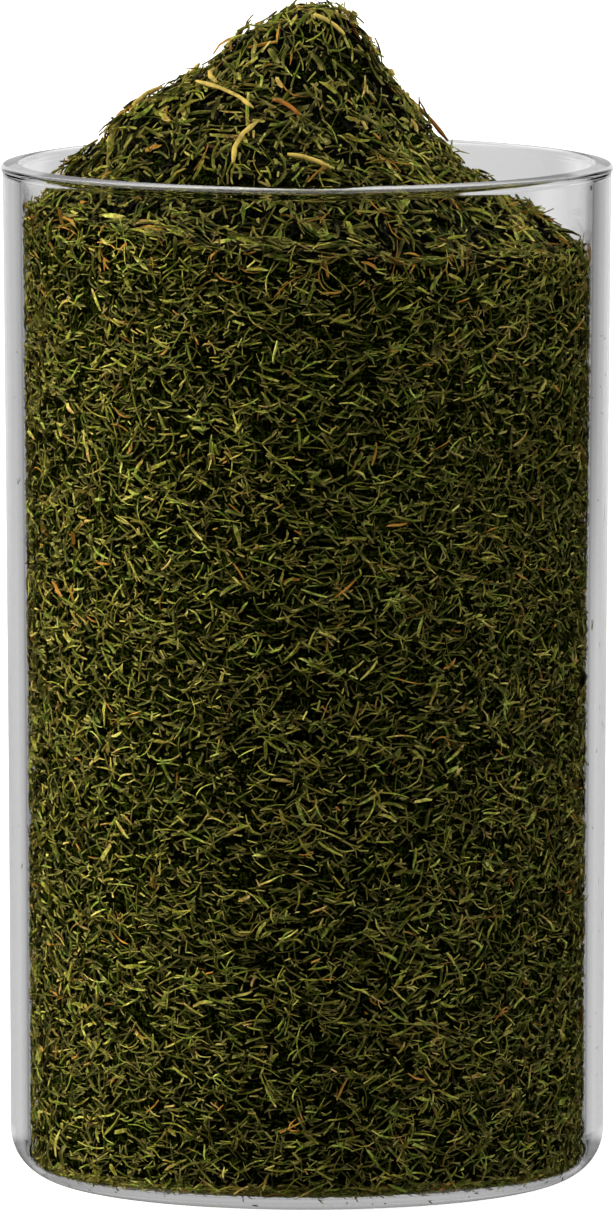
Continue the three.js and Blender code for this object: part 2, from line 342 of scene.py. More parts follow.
def packed_shade(dill):
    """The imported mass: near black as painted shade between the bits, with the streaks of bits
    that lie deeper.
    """
    make = Maker(bpy.data.materials.new("packed_dill_shade"))
    black, white = (0, 0, 0, 1), (1, 1, 1, 1)
    level = make.noise(800, detail=2.0, stretch=(1, 1, 3.5))
    level = make.ramp(level, [(0.52, black), (0.6, white)])
    steep = make.noise(900, detail=2.0, stretch=(3, 3, 0.8))
    steep = make.ramp(steep, [(0.54, black), (0.62, white)])
    crumbs = make.noise(2400, detail=3.0, roughness=0.7)
    streaks = make.mix(level, make.mix(steep, dill.shade, dill.olive), dill.olive)
    colour = make.mix(make.ramp(crumbs, [(0.4, black), (0.6, white)]), dill.shade, streaks)
    shader = make.add("ShaderNodeBsdfPrincipled", {}, {
        "Base Color": colour, "Roughness": 0.9, "Specular IOR Level": 0.0,
        "Normal": make.bump(crumbs, strength=1.0, distance=0.4 * MM),
    })
    return make.surface(shader)


def stalk_skin(name, colour, dark):
    """Dry stalk: fine fibres along it, browned in patches."""
    make = Maker(bpy.data.materials.new(name))
    patches = make.noise(700, detail=3.0)
    fibres = make.noise(4500, detail=2.0, roughness=0.7)
    shade = make.ramp(patches, [(0.45, (0, 0, 0, 1)), (0.75, (0.6, 0.6, 0.6, 1))])
    shader = make.add("ShaderNodeBsdfPrincipled", {}, {
        "Base Color": make.mix(shade, colour, dark),
        "Roughness": 0.45 + 0.3 * fibres,
        "Specular IOR Level": 0.2,
        "Normal": make.bump(fibres, strength=0.6, distance=0.08 * MM),
    })
    return make.surface(shader)


# --- shapes ------------------------------------------------------------------------------


def arc(centre_radius, centre_height, radius, start, end, steps):
    """Points of an arc in the (radius, height) plane, both ends included, angles in degrees."""
    turns = [math.radians(start + (end - start) * i / steps) for i in range(steps + 1)]
    return [
        (centre_radius + radius * math.cos(turn), centre_height + radius * math.sin(turn))
        for turn in turns
    ]


def part_way(value, start, width):
    """Rises evenly from 0 at start to 1 a width further on."""
    return min(max((value - start) / width, 0), 1)


def hump(value, centre, width):
    """1 at the centre, falling softly to 0 about two widths away."""
    return math.exp(-(((value - centre) / width) ** 2))


def heading(turn):
    """The level direction at a turn, counted from +X."""
    return Vector((math.cos(turn), math.sin(turn), 0))


def scatter(draw, size):
    """A random offset of up to size along each axis."""
    return size * Vector([draw.uniform(-1, 1) for _ in range(3)])


def outside_radius(glass, z):
    part = part_way(z, 0, glass.height)
    return glass.foot_radius + (glass.rim_radius - glass.foot_radius) * part ** glass.flare


def inside_radius(glass, z):
    return outside_radius(glass, z) - glass.wall


def spun(profile, sides):
    """A closed bmesh turned round the z axis from a profile that starts and ends on the axis."""
    bm = bmesh.new()
    verts = [bm.verts.new((radius, 0, z)) for radius, z in profile]
    edges = [bm.edges.new(pair) for pair in zip(verts, verts[1:])]
    bmesh.ops.spin(
        bm, geom=verts + edges, cent=(0, 0, 0), axis=(0, 0, 1),
        angle=2 * math.pi, steps=sides, use_merge=True,
    )
    bmesh.ops.remove_doubles(bm, verts=bm.verts[:], dist=SAME_POINT)
    bmesh.ops.recalc_face_normals(bm, faces=bm.faces[:])
    return bm


def heap_height(dill, x, y):
    """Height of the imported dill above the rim: a blunt peak, steep and spreading on the +X
    side, one even slope on the -X side, with broad lumps. The figures inside are millimetres."""
    x, y = x / MM, y / MM
    radius = math.hypot(x, y)
    # 0 on the -X side, 1 on the +X side.
    to_right = 0.5 + 0.5 * x / max(radius, 1)
    # How far down each side has come from the flat of the peak, by distance from the axis.
    run = max(0, radius - 3.2)
    edge = part_way(radius, 26, 4)
    gentle = 0.66 * run + 1.6 * edge + 1.9 * part_way(radius, 30, 5)
    gentle += 0.8 * hump(radius, 14, 2.6) + 1.2 * hump(radius, 28.5, 2.4)
    steep_run = min(run, 13.8)
    steep = 1.18 * steep_run + 0.64 * (run - steep_run) + 2.3 * part_way(radius, 16, 5) + 0.2 * edge
    shoulder = 2.6 * to_right * hump(radius, 6.4, 2.4) + 0.6 * hump(radius, 0, 3.5)
    lumps = math.sin(0.31 * x + 4.05) * math.cos(0.27 * y - 0.4)
    lumps += 0.5 * math.sin(0.55 * y + 0.35 * x)
    return dill.heap_top + (0.55 * lumps + shoulder - gentle - (steep - gentle) * to_right) * MM


def heap_normal(dill, x, y):
    """The direction that the heap's surface faces."""
    step = 0.5 * MM
    slope_x = (heap_height(dill, x + step, y) - heap_height(dill, x - step, y)) / (2 * step)
    slope_y = (heap_height(dill, x, y + step) - heap_height(dill, x, y - step)) / (2 * step)
    return Vector((-slope_x, -slope_y, 1)).normalized()


# How far a bit is put out of line, as a part of its width.
CRINKLE = 0.35


def bit_shape(name, length, width, thickness, bend, curl, twist, taper, cuts):
    """A cut bit of leaf, lying along x with its ridge up: a three-cornered strip, bent
    sideways and up, twisted, crinkled and narrowed towards its slanting ends. First it is made
    2 long, 2 wide and 1 high, then it gets its real size."""
    bm = bmesh.new()
    bmesh.ops.create_cone(bm, cap_ends=True, segments=3, radius1=1, radius2=1, depth=2)
    bmesh.ops.rotate(bm, verts=bm.verts[:], matrix=Matrix.Rotation(math.pi / 2, 3, "Y"))
    for i in range(cuts):
        place = -1 + 2 * (i + 1) / (cuts + 1)
        everything = bm.verts[:] + bm.edges[:] + bm.faces[:]
        bmesh.ops.bisect_plane(bm, geom=everything, plane_co=(place, 0, 0), plane_no=(1, 0, 0))
    highest = max(v.co.z for v in bm.verts)
    lowest = min(v.co.z for v in bm.verts)
    widest = max(abs(v.co.y) for v in bm.verts)
    uv = bm.loops.layers.uv.new(BIT_MAP)
    # The ridge layer, 0 at the base and 1 at the ridge, is the mask of a painted highlight in the
    # leaf's colour.
    ridge = bm.verts.layers.float.new("ridge")
    tip = bm.verts.layers.float.new("tip")
    for v in bm.verts:
        v.co.y /= widest
        v.co.z = (v.co.z - lowest) / (highest - lowest)
        v[ridge] = v.co.z
        v[tip] = abs(v.co.x) ** 6
        if abs(v.co.x) > 0.99:
            slant = width / length
            v.co.x += 0.5 * slant * v.co.y + 0.4 * slant * (0.5 - v.co.z) * v.co.x
    for face in bm.faces:
        for loop in face.loops:
            loop[uv].uv = (0.5 + HALF_MAP * loop.vert.co.x, 0.5 + HALF_MAP * loop.vert.co.y)
    for v in bm.verts:
        along = v.co.x
        ripple = CRINKLE * noise.noise_vector(Vector((3 * along, 1e4 * width, 1e4 * length)))
        narrow = (1 - taper * along * along) * (1 + ripple.x)
        across = v.co.y * narrow * width / 2
        up = (v.co.z - 0.3) * narrow * thickness
        turn = twist * along
        bow = length * (along * along - 0.4)
        v.co = (
            along * length / 2,
            across * math.cos(turn) - up * math.sin(turn) + bend * bow + ripple.y * width,
            across * math.sin(turn) + up * math.cos(turn) - curl * bow + ripple.z * width,
        )
    bmesh.ops.recalc_face_normals(bm, faces=bm.faces[:])
    return mesh_from(bm, name, smooth=False)


# Kinds of cut bit: lengths, widths and thicknesses in millimetres, then the most that one
# bends sideways, curls up and twists, how far it narrows and the rings between its ends.
BIT_KINDS = {
    "needle": dict(
        length=(1.2, 3.2), width=(0.22, 0.42), thickness=0.22,
        bend=0.12, curl=0.1, twist=1.0, taper=0.55, cuts=2,
    ),
    "thread": dict(
        length=(2.4, 4.8), width=(0.15, 0.24), thickness=0.16,
        bend=0.28, curl=0.1, twist=1.4, taper=0.4, cuts=3,
    ),
    "chip": dict(
        length=(1.3, 2.8), width=(0.42, 0.7), thickness=0.2,
        bend=0.07, curl=0.1, twist=0.8, taper=0.5, cuts=2,
    ),
    "crumb": dict(
        length=(0.5, 1.3), width=(0.22, 0.45), thickness=0.26,
        bend=0.0, curl=0.0, twist=0.5, taper=0.4, cuts=0,
    ),
    "plain": dict(
        length=(1.6, 3.4), width=(0.32, 0.52), thickness=0.26,
        bend=0.0, curl=0.0, twist=0.8, taper=0.5, cuts=0,
    ),
    "tine": dict(
        length=(0.9, 2.0), width=(0.17, 0.27), thickness=0.17,
        bend=0.16, curl=0.08, twist=0.8, taper=0.5, cuts=1,
    ),
}
# How many of each hundred bits are of each kind. The plain ones lie deepest.
BIT_SHARES = {"needle": 41, "thread": 15, "chip": 10, "crumb": 30, "fork": 4}
DEEP_SHARES = {"plain": 75, "crumb": 25}
SHAPES_EACH = 14
# Each bit is laid down at a size between these.
SMALLEST, BIGGEST = 0.8, 1.2


def bit_shapes(draw):
    """A few different bits of each kind, to be strewn."""
    shapes = {}
    for kind, facts in BIT_KINDS.items():
        shapes[kind] = [
            bit_shape(
                f"{kind}_{i}",
                length=draw.uniform(*facts["length"]) * MM,
                width=draw.uniform(*facts["width"]) * MM,
                thickness=facts["thickness"] * draw.uniform(0.8, 1.2) * MM,
                bend=facts["bend"] * draw.uniform(-1, 1),
                curl=facts["curl"] * draw.uniform(-0.6, 1),
                twist=facts["twist"] * draw.uniform(-1, 1),
                taper=facts["taper"] * draw.uniform(0.5, 1),
                cuts=facts["cuts"],
            )
            for i in range(SHAPES_EACH)
        ]
    shapes["fork"] = [
        fork_shape(f"fork_{i}", draw.choice(shapes["crumb"]), draw.sample(shapes["tine"], 3), draw)
        for i in range(SHAPES_EACH)
    ]
    return shapes


def stamped(name, places):
    """One mesh with a copy of a shape at each place, from (shape, matrix), each with a small
    square of its own on the flat map."""
    bm = bmesh.new()
    for shape, matrix in places:
        copy = shape.copy()
        copy.transform(matrix)
        bm.from_mesh(copy, face_normals=False, vertex_normals=False)
        bpy.data.meshes.remove(copy)
    mesh = bpy.data.meshes.new(name)
    bm.to_mesh(mesh)
    bm.free()
    per_side = math.ceil(math.sqrt(len(places)))
    number = np.repeat(np.arange(len(places)), [len(shape.loops) for shape, _ in places])
    corner = np.stack([number % per_side, number // per_side], 1)
    flat = np.empty(len(number) * 2, np.float32)
    mesh.uv_layers[BIT_MAP].uv.foreach_get("vector", flat)
    flat = (flat.reshape(-1, 2) + corner) / per_side
    mesh.uv_layers[BIT_MAP].uv.foreach_set("vector", flat.astype(np.float32).ravel())
    return mesh


def strewn(name, places):
    """One mesh of bits from (shape, matrix, tone, painted shade)."""
    mesh = stamped(name, [place[:2] for place in places])
    sizes = [len(shape.vertices) for shape, *_ in places]
    for column, attribute in ((2, "tone"), (3, "deep")):
        values = np.repeat([place[column] for place in places], sizes).astype(np.float32)
        mesh.attributes.new(attribute, "FLOAT", "POINT").data.foreach_set("value", values)
    return mesh


def fork_shape(name, stem, tines, draw):
    """A scrap of leaf where fine tines part from a short stem."""
    reach = max(v.co.x for v in stem.vertices)
    places = [(stem, Matrix.Rotation(math.pi, 4, "Z") @ Matrix.Translation((reach, 0, 0)))]
    for tine, spread in zip(tines, (-0.55, 0.05, 0.6)):
        end = max(v.co.x for v in tine.vertices)
        turn = Matrix.Rotation(spread + draw.uniform(-0.2, 0.2), 4, "Z")
        places.append((tine, turn @ Matrix.Translation((0.9 * end, 0, 0))))
    return stamped(name, places)


def add_piece(name, mesh, material, slot, *nodes):
    """Puts a finished mesh in the scene as a piece of the object."""
    piece = bpy.data.objects.new(name, mesh)
    bpy.context.scene.collection.objects.link(piece)
    mesh.materials.append(material)
    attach(piece, BODY)
    if nodes:
        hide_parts(*nodes)


def mesh_from(bm, name, smooth=True):
    for face in bm.faces:
        face.smooth = smooth
    mesh = bpy.data.meshes.new(name)
    bm.to_mesh(mesh)
    bm.free()
    return mesh


class Strewer:
    """Draws bits and lays them down, always the same way for the same seed."""

    def __init__(self, dill, number):
        self.draw = random.Random(100 * dill.seed + number)
        # Without a seed, the noise that crinkles the bits would start from the clock.
        noise.seed_set(100 * dill.seed + number)
        self.shapes = bit_shapes(self.draw)
        self.places = []

    def pick(self, shares):
        """Draws a bit. Returns its shape and how far it can reach from its middle."""
        kind = self.draw.choices(list(shares), shares.values())[0]
        shape = self.draw.choice(self.shapes[kind])
        return shape, BIGGEST * max(v.co.length for v in shape.vertices)

    def lay(self, shape, centre, along, out, deep=0.0, shift=0.0, size=1.0):
        """Lays one bit at centre, along a direction, its ridge turned out. The painted shade is 0
        for a bit that lies in the light and 1 for one that is quite buried, which is painted
        full shade. shift is added to its tone."""
        side = out.cross(along).normalized()
        out = along.cross(side).normalized()
        size *= self.draw.uniform(SMALLEST, BIGGEST)
        axes = Matrix((along, side, out)).transposed() * size
        tone = min(max(self.draw.random() + shift, 0), 1)
        deep = min(max(deep, 0), 1)
        self.places.append((shape, Matrix.Translation(centre) @ axes.to_4x4(), tone, deep))


# --- operators ---------------------------------------------------------------------------


# Heights of the wall's rings, as parts of the height of the tumbler.
WALL_RINGS = (0.12, 0.25, 0.38, 0.5, 0.62, 0.74, 0.86, 0.94)


class DILL_OT_tumbler(bpy.types.Operator):
    """Turns the glass tumbler, with its rounded foot and melted rim"""
    bl_idname = "dill.tumbler"
    bl_label = "Glass tumbler"

    def execute(self, context):
        glass = context.scene.dill_tumbler
        bead = glass.rim_radius + glass.bead
        top = glass.height
        walls = [part * glass.height for part in WALL_RINGS]
        # Each wall starts with a ring just above its corner.
        ring = 0.6 * MM
        floor_high = glass.base + glass.floor_round
        foot_flat = glass.foot_radius - glass.foot_round
        floor_flat = inside_radius(glass, glass.base) - glass.floor_round
        outer_lip, inner_lip = 0.6 * MM, 0.4 * MM
        profile = [
            (0, 0),
            *arc(foot_flat, glass.foot_round, glass.foot_round, -90, 0, 16),
            (outside_radius(glass, glass.foot_round + ring), glass.foot_round + ring),
            *[(outside_radius(glass, z), z) for z in walls],
            (outside_radius(glass, top - 1.7 * MM), top - 1.7 * MM),
            # The rim: out over the melted bead, round the top and down the inside.
            (glass.rim_radius, top - 1.3 * MM),
            (bead - 0.02 * MM, top - 1.05 * MM),
            *arc(bead - outer_lip, top - 0.85 * MM, outer_lip, 0, 76, 10),
            *arc(bead - 2.0 * MM, top - inner_lip, inner_lip, 76, 180, 8),
            (inside_radius(glass, top), top - 0.7 * MM),
            (inside_radius(glass, top - 1.1 * MM), top - 1.1 * MM),
            *[(inside_radius(glass, z), z) for z in reversed(walls)],
            (inside_radius(glass, floor_high + ring), floor_high + ring),
            *arc(floor_flat, floor_high, glass.floor_round, 0, -90, 12),
            (0, glass.base),
        ]
        mesh = mesh_from(spun(profile, glass.sides), "tumbler_glass")
        add_piece("tumbler_glass", mesh, tumbler_glass(glass), "glass", "glass_tumbler")
        return {"FINISHED"}


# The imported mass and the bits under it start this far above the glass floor.
FLOOR_GAP = 0.9 * MM
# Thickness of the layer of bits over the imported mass.
COVER = 1.8 * MM


class DILL_OT_packed_mass(bpy.types.Operator):
    """Makes the packed mass that the bits of leaf lie in, near black as painted shade"""
    bl_idname = "dill.packed_mass"
    bl_label = "Packed mass"

    depth: length_property("Depth", "How far inside the wall it stays", 1.15)
    rings: IntProperty(name="Rings", description="Rings over its top", default=14)
    sides: IntProperty(name="Sides", description="Steps round it", default=60)

    def execute(self, context):
        name = "dill_packed_mass"
        glass, dill = context.scene.dill_tumbler, context.scene.dill_bits
        floor = glass.base + FLOOR_GAP
        wall = inside_radius(glass, glass.height) - self.depth
        # Its lower corner is as round as that of the glass, and stays off it.
        corner = glass.floor_round
        foot = inside_radius(glass, glass.base) - 1.2 * MM
        rings = [wall * (1 - i / self.rings) for i in range(self.rings)]
        profile = [
            (0, floor),
            *arc(foot - corner, floor + corner, corner, -90, 0, 5),
            (inside_radius(glass, glass.height / 2) - self.depth, glass.height / 2),
            *[(radius, glass.height) for radius in rings],
            (0, glass.height),
        ]
        bm = spun(profile, self.sides)
        for v in bm.verts:
            if v.co.z > glass.height - MM:
                x, y, _ = v.co
                v.co.z += heap_height(dill, x, y) - COVER / heap_normal(dill, x, y).z
        add_piece(name, mesh_from(bm, name), packed_shade(dill), "dill", "dill_fill")
        return {"FINISHED"}


# The heap starts this far inside the wall.
BRIM_GAP = 0.6 * MM
# In its outermost band, bits lie nearly along the wall and hardly lean.
BRIM_BAND = 2.2 * MM
BRIM_TURN = 0.35
BRIM_LEAN = 0.3
# The most that a bit leans out of the surface, and how freely its ridge turns.
HEAP_LEAN = 0.5
HEAP_ROLL = 1.1
# Bits on the heap are larger than their shapes, but reach no farther from their middle.
HEAP_SIZE = 1.4
HEAP_REACH = 3.2 * MM


class DILL_OT_heap(bpy.types.Operator):
    """Strews the heap above the rim with cut bits of leaf"""
    bl_idname = "dill.heap"
    bl_label = "Heap"

    def execute(self, context):
        glass, dill = context.scene.dill_tumbler, context.scene.dill_bits
        leaf = dill_leaf(dill)
        # Name, count, and the lowest and highest place from the surface in millimetres.
        layers = (
            ("dill_heap_bits", dill.heap_bits, (-1.7, -0.3)),
            ("dill_heap_loose_bits", dill.loose_bits, (-0.6, 0.0)),
        )
        for number, (name, count, heights) in enumerate(layers, start=1):
            strewer = Strewer(dill, number)
            for _ in range(count):
                self.lay_one(strewer, glass, dill, heights)
            if number == len(layers):
                self.stick_crumb(strewer, glass)
            add_piece(name, strewn(name, strewer.places), leaf, "dill")
        return {"FINISHED"}

    @staticmethod
    def stick_crumb(strewer, glass):
        """One dark crumb clings to the inside of the wall, clear of the heap."""
        z = glass.height - 2.5 * MM
        outward = heading(glass.crumb_turn)
        centre = outward * (inside_radius(glass, z) - 0.15 * MM)
        centre.z = z
        crumb = strewer.shapes["crumb"][0]
        strewer.lay(crumb, centre, Vector((0, 0, 1)), -outward, shift=-1.0, size=0.7)

    @staticmethod
    def lay_one(strewer, glass, dill, heights):
        draw = strewer.draw
        reach = inside_radius(glass, glass.height) - BRIM_GAP
        radius = reach * math.sqrt(draw.random())
        angle = draw.uniform(0, 2 * math.pi)
        x, y = radius * math.cos(angle), radius * math.sin(angle)
        normal = heap_normal(dill, x, y)
        turn = draw.uniform(0, 2 * math.pi)
        at_glass = radius > reach - BRIM_BAND
        if at_glass:
            turn = angle + draw.uniform(-BRIM_TURN, BRIM_TURN)
        level = heading(turn).cross(normal).normalized()
        lean = draw.uniform(0, HEAP_LEAN) * draw.random() * (BRIM_LEAN if at_glass else 1)
        along = level * math.cos(lean) + normal * math.sin(lean)
        out = (normal + scatter(draw, HEAP_ROLL)).normalized()
        centre = Vector((x, y, glass.height + heap_height(dill, x, y)))
        # The surface is lumpy. Bits in the hollows, and those that lie low, are darkened by painted
        # shade.
        clump = noise.noise(centre * 160) + 0.6 * noise.noise(centre * 420)
        rise = draw.uniform(*heights)
        centre += normal * (rise + 1.1 * clump + 0.5 * math.sin(lean) - 0.3) * MM
        deep = 1.9 * (-0.5 - rise) - 0.6 * clump
        shape, reach = strewer.pick(BIT_SHARES)
        size = min(HEAP_SIZE, HEAP_REACH / reach)
        strewer.lay(shape, centre, along, out, deep=deep, shift=-0.02, size=size)


# Bits along the wall lie from this far off it to a layer's depth farther in.
WALL_GAP = 0.32 * MM
WALL_LAYER = 1.3 * MM
# Past this depth they are all plain ones.
PLAIN_DEPTH = 1.1 * MM
# From this depth painted shade darkens them, and it is full a layer farther in.
PAINTED_SHADE_DEPTH = 0.6 * MM
PAINTED_SHADE_LAYER = 1.0 * MM
# The lowest lie this far above the glass floor. A share of all has settled just over it.
LOWEST = 0.6 * MM
SETTLED = 0.09
SETTLED_LAYER = 1.2 * MM
# How steeply they tilt. The lowest lie level, and the tilt grows over this layer.
WALL_TILT = 0.8
LEVEL_LAYER = 2.5 * MM
# How freely their ridges turn. Over the top layer they turn up, and their tone is made paler as
# painted light from above.
WALL_ROLL = 0.9
TOP_LAYER = 9 * MM


class DILL_OT_sides(bpy.types.Operator):
    """Strews cut bits of leaf against the inside of the wall"""
    bl_idname = "dill.sides"
    bl_label = "Dill along the wall"

    quarters: IntProperty(name="Quarters", description="Pieces round the wall", default=4)

    def execute(self, context):
        glass, dill = context.scene.dill_tumbler, context.scene.dill_bits
        leaf = dill_leaf(dill)
        for i, name in enumerate(("right", "back", "left", "front")[: self.quarters]):
            strewer = Strewer(dill, 10 + i)
            middle = 2 * math.pi * i / self.quarters
            for _ in range(dill.side_bits // self.quarters):
                angle = middle + strewer.draw.uniform(-1, 1) * math.pi / self.quarters
                self.lay_one(strewer, glass, dill, angle)
            piece = f"dill_wall_bits_{name}"
            add_piece(piece, strewn(piece, strewer.places), leaf, "dill")
        return {"FINISHED"}

    @staticmethod
    def lay_one(strewer, glass, dill, angle):
        draw = strewer.draw
        outward = heading(angle)
        tangent = Vector((-outward.y, outward.x, 0))
        edge = inside_radius(glass, glass.height)
        high = glass.height + heap_height(dill, edge * outward.x, edge * outward.y) + 0.1 * MM
        low = glass.base + LOWEST
        settled = draw.random() < SETTLED
        z = low + SETTLED_LAYER * draw.random() if settled else draw.uniform(low, high)
        depth = WALL_GAP + WALL_LAYER * draw.random() ** 1.3
        # The rounded inside corner of the glass pushes the lowest bits inwards.
        corner = max(0, glass.base + glass.floor_round - z)
        inset = glass.floor_round - math.sqrt(max(glass.floor_round ** 2 - corner ** 2, 0))
        tilt = draw.gauss(0, WALL_TILT) * min(1, (z - low) / LEVEL_LAYER)
        shape, reach = strewer.pick(DEEP_SHARES if depth > PLAIN_DEPTH else BIT_SHARES)
        # It leans out or in, as far as the glass lets its ends go.
        lean = draw.uniform(-1, 1) * math.asin(min(0.6, (depth - 0.3 * MM) / reach))
        along = tangent * math.cos(tilt) + Vector((0, 0, math.sin(tilt)))
        along = (along * math.cos(lean) + outward * math.sin(lean)).normalized()
        near_top = max(0, 1 - (high - z) / TOP_LAYER)
        out = outward + Vector((0, 0, 0.8 * near_top)) + scatter(draw, WALL_ROLL)
        centre = outward * (inside_radius(glass, z) - depth - inset - 0.2 * corner)
        centre.z = z
        # Painted shade: bits that lie deeper behind the glass are darkened towards the shade
        # colour.
        deep = (depth - PAINTED_SHADE_DEPTH) / PAINTED_SHADE_LAYER
        # Painted light: bits near the top of the wall get a paler tone, as if lit from above.
        shift = 0.1 * near_top - 0.03
        strewer.lay(shape, centre, along, out.normalized(), deep=deep, shift=shift)


class DILL_OT_floor(bpy.types.Operator):
    """Strews cut bits of leaf on the floor of the glass"""
    bl_idname = "dill.floor"
    bl_label = "Dill on the glass floor"

    def execute(self, context):
        name = "dill_floor_bits"
        glass, dill = context.scene.dill_tumbler, context.scene.dill_bits
        strewer = Strewer(dill, 20)
        draw = strewer.draw
        reach = inside_radius(glass, glass.base) - 1.8 * MM
        down = Vector((0, 0, -1))
        for _ in range(dill.floor_bits):
            radius = reach * math.sqrt(draw.random())
            angle, turn = draw.uniform(0, 2 * math.pi), draw.uniform(0, 2 * math.pi)
            z = glass.base + FLOOR_GAP + 0.5 * MM * draw.random()
            centre = Vector((radius * math.cos(angle), radius * math.sin(angle), z))
            shape, _ = strewer.pick(DEEP_SHARES)
            strewer.lay(shape, centre, heading(turn), down)
        add_piece(name, strewn(name, strewer.places), dill_leaf(dill), "dill")
        return {"FINISHED"}


# For each ring along a stalk bit: how wide it stays, and how far it moves aside for its length.
STALK_RINGS = ((0.32, 0.04), (0.52, -0.05), (0.5, -0.04), (0.26, 0.06))


class DILL_OT_stalks(bpy.types.Operator):
    """Rounds and roughens the stalk bits that lie on the heap"""
    bl_idname = "dill.stalks"
    bl_label = "Stalk bits"

    def execute(self, context):
        glass, dill = context.scene.dill_tumbler, context.scene.dill_bits
        stalk = context.scene.dill_stalks
        skins = {
            "straw_stalk": stalk_skin("straw_stalk_skin", stalk.straw, dill.dark),
            "brown_stalk": stalk_skin("brown_stalk_skin", stalk.brown, dill.dark),
        }
        for row in frame["record"]["subparts"]:
            node, slot = row["node"], row["material_slot"]
            if slot in skins:
                name = node.replace("stalk_bit", "dill_stalk")
                mesh = self.rounded(frame["nodes"][node], name, glass, dill)
                add_piece(name, mesh, skins[slot], slot, node)
        return {"FINISHED"}

    @staticmethod
    def rounded(node, name, glass, dill):
        """A copy of the node's mesh, set down on the heap, its rings narrowed towards the ends
        and put out of line, then rounded."""
        bm = bmesh.new()
        bm.from_mesh(node.data)
        bmesh.ops.remove_doubles(bm, verts=bm.verts[:], dist=SAME_POINT)
        middle = sum((v.co for v in bm.verts), Vector()) / len(bm.verts)
        seat = glass.height + heap_height(dill, middle.x, middle.y) + 0.1 * MM
        bmesh.ops.translate(bm, verts=bm.verts[:], vec=(0, 0, seat - middle.z))
        pairs = ((a.co, b.co) for a in bm.verts for b in bm.verts)
        start, end = max(pairs, key=lambda pair: (pair[0] - pair[1]).length)
        along = (end - start).normalized()
        rings = sorted(bm.verts, key=lambda v: (v.co - start).dot(along))
        around = len(rings) // len(STALK_RINGS)
        sideways = along.cross(Vector((0, 0, 1))).normalized() * (end - start).length
        for i, (narrow, sway) in enumerate(STALK_RINGS):
            ring = rings[around * i:around * (i + 1)]
            centre = sum((v.co for v in ring), Vector()) / around
            for v in ring:
                v.co = centre + (v.co - centre) * narrow + sideways * sway
        bmesh.ops.subdivide_edges(bm, edges=bm.edges[:], cuts=1, use_grid_fill=True, smooth=0.2)
        bmesh.ops.recalc_face_normals(bm, faces=bm.faces[:])
        return mesh_from(bm, name)


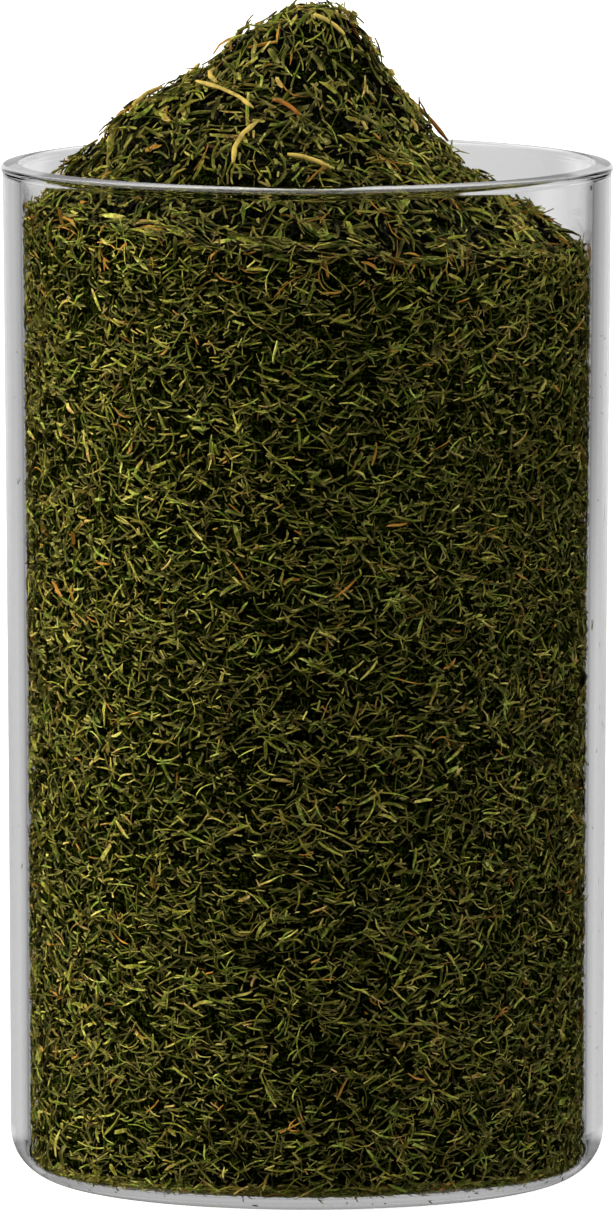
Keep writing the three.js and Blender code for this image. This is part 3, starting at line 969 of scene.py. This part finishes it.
class DILL_OT_stage(bpy.types.Operator):
    """Sets up the pale floor, the soft lights and the camera"""
    bl_idname = "dill.stage"
    bl_label = "Stage"

    def execute(self, context):
        stage = context.scene.dill_stage
        self.floor(stage)
        self.world(stage)
        self.lamp("key_light", stage.key, stage.key_colour, bearing=-50, height=66, spread=26)
        self.lamp("side_light", stage.side, stage.side_colour, bearing=-90, height=14, spread=20)
        self.lamp("fill_light", stage.fill, stage.fill_colour, bearing=82, height=30, spread=40)
        self.camera(stage)
        context.scene.view_settings.view_transform = "Standard"
        return {"FINISHED"}

    @staticmethod
    def floor(stage):
        bm = bmesh.new()
        bmesh.ops.create_grid(bm, x_segments=1, y_segments=1, size=12)
        floor = bpy.data.objects.new("floor", mesh_from(bm, "floor", smooth=False))
        bpy.context.scene.collection.objects.link(floor)
        make = Maker(bpy.data.materials.new("pale_floor"))
        shader = make.add("ShaderNodeBsdfPrincipled", {}, {
            "Base Color": stage.floor, "Roughness": 1.0, "Specular IOR Level": 0.0,
            "Emission Color": (1, 1, 1, 1), "Emission Strength": stage.floor_glow,
        })
        floor.data.materials.append(make.surface(shader))
        floor.visible_glossy = False
        floor.visible_transmission = False

    @staticmethod
    def world(stage):
        """The room, as the glass shows it. Directions are unit vectors: across is their part to
        the right, back their part away from the camera, height their part upwards."""
        world = bpy.data.worlds.new("studio")
        bpy.context.scene.world = world
        make = Maker(world)

        def ray(name):
            return make.add("ShaderNodeLightPath", out=name)

        def either(test, yes, no):
            return test * yes + (1 - test) * no

        direction = make.add("ShaderNodeTexCoord", out="Generated")
        across, back, height = (make.axis(direction, name) for name in "XYZ")
        # Through the glass: a grey backdrop, lighter on both sides of its middle and darker at
        # its ends, mostly the right one, over a table that is lighter near by and dark below.
        spread = across * across
        lighter = make.between(spread, 0.0036, 0.01) - make.between(spread, 0.0625, 0.09)
        right_end, left_end = make.between(across, 0.3, 0.5), make.between(across, -0.3, -0.5)
        backdrop = stage.backdrop * (1 + 0.4 * lighter - 0.38 * right_end - 0.1 * left_end)
        table = 1.06 * stage.backdrop
        near_by, below = make.between(height, -0.13, -0.2), make.between(height, -0.25, -0.45)
        through = either(make.between(height, -0.102, -0.118), table, backdrop)
        through = through * (1 + 0.2 * near_by - 0.5 * below)
        # Mirrored in the glass: the room in front is dark, which keeps the glass clear. A ray
        # that comes back level, or that never went in, sees only the middle of the backdrop.
        # The others see all that lies behind the glass, apart from low down at the sides.
        bounced = ray("Glossy Depth") > 0.5
        mirrored = ray("Is Glossy Ray") * ray("Is Singular Ray")
        in_wall = (ray("Transmission Depth") > 0.5) * (ray("Transmission Depth") < 2.5)
        level = (height > -0.17) * (height < -0.04)
        outside = ray("Transmission Depth") < 0.5
        middle = make.between(back, 0.78, 0.86) * make.between(height, -0.2, -0.14)
        sideways = make.between(spread, 0.2, 0.35) * (height < 0.3)
        behind = make.between(back, 0.0, 0.3) * (1 - sideways)
        in_glass = through * either(bounced, either(level + outside > 0.5, middle, behind), 1.0)
        # A soft light overhead whitens the rim.
        in_glass = in_glass + outside * mirrored * stage.overhead * make.between(height, 0.3, 0.5)
        # Light that falls on the dill comes evenly from all round.
        on_dill = ray("Diffuse Depth") + bounced * (1 - mirrored) * (1 - in_wall) > 0.5
        strength = either(ray("Is Camera Ray"), 1.0, either(on_dill, stage.sky, in_glass))
        shader = make.add("ShaderNodeBackground", {}, {"Color": (1, 1, 1, 1), "Strength": strength})
        make.add("ShaderNodeOutputWorld", {}, {"Surface": shader})

    @staticmethod
    def lamp(name, strength, colour, bearing, height, spread):
        """A soft light as from a large window. bearing, height and spread are in degrees;
        bearing counts from the camera's side, to the right."""
        data = bpy.data.lights.new(name, "SUN")
        data.energy = strength
        data.angle = math.radians(spread)
        # The lights shine on the dill and are not mirrored in the glass.
        make = Maker(data)
        mirrored = make.add("ShaderNodeLightPath", out="Glossy Depth") > 0.5
        shader = make.add("ShaderNodeEmission", {}, {"Color": colour, "Strength": 1 - mirrored})
        make.add("ShaderNodeOutputLight", {}, {"Surface": shader})
        lamp = bpy.data.objects.new(name, data)
        bearing, height = math.radians(bearing), math.radians(height)
        level = math.cos(height)
        lamp.location = (level * math.sin(bearing), -level * math.cos(bearing), math.sin(height))
        lamp.rotation_euler = (-lamp.location).to_track_quat("-Z", "Y").to_euler()
        lamp.visible_transmission = False
        bpy.context.scene.collection.objects.link(lamp)

    @staticmethod
    def camera(stage):
        data = bpy.data.cameras.new("camera")
        data.lens = data.sensor_width * stage.camera_distance / stage.picture_height
        data.clip_start = 0.1
        data.clip_end = 40
        camera = bpy.data.objects.new("camera", data)
        back = Vector((0, -math.cos(stage.camera_pitch), math.sin(stage.camera_pitch)))
        camera.location = Vector((0, 0, stage.aim_height)) + back * stage.camera_distance
        camera.rotation_euler = (-back).to_track_quat("-Z", "Y").to_euler()
        bpy.context.scene.collection.objects.link(camera)
        bpy.context.scene.camera = camera


OPERATORS = (
    DILL_OT_stage,
    DILL_OT_tumbler,
    DILL_OT_packed_mass,
    DILL_OT_heap,
    DILL_OT_sides,
    DILL_OT_floor,
    DILL_OT_stalks,
)
SETTINGS = {
    "dill_tumbler": TumblerSettings,
    "dill_bits": DillSettings,
    "dill_stalks": StalkSettings,
    "dill_stage": StageSettings,
}


class DILL_PT_panel(bpy.types.Panel):
    """Lists the steps and the settings"""
    bl_idname = "DILL_PT_panel"
    bl_label = "Glass of Dried Dill"
    bl_space_type = "VIEW_3D"
    bl_region_type = "UI"
    bl_category = "Dill"

    def draw(self, context):
        for operator in OPERATORS:
            self.layout.operator(operator.bl_idname)
        for name, group in SETTINGS.items():
            box = self.layout.box()
            for field in group.__annotations__:
                box.prop(getattr(context.scene, name), field)


def register():
    for name, group in SETTINGS.items():
        bpy.utils.register_class(group)
        setattr(bpy.types.Scene, name, PointerProperty(type=group))
    for operator in OPERATORS:
        bpy.utils.register_class(operator)
    bpy.utils.register_class(DILL_PT_panel)


def unregister():
    bpy.utils.unregister_class(DILL_PT_panel)
    for operator in reversed(OPERATORS):
        bpy.utils.unregister_class(operator)
    for name, group in SETTINGS.items():
        delattr(bpy.types.Scene, name)
        bpy.utils.unregister_class(group)


def main():
    register()
    for operator in OPERATORS:
        family, name = operator.bl_idname.split(".")
        getattr(getattr(bpy.ops, family), name)()


if __name__ == "__main__":
    main()
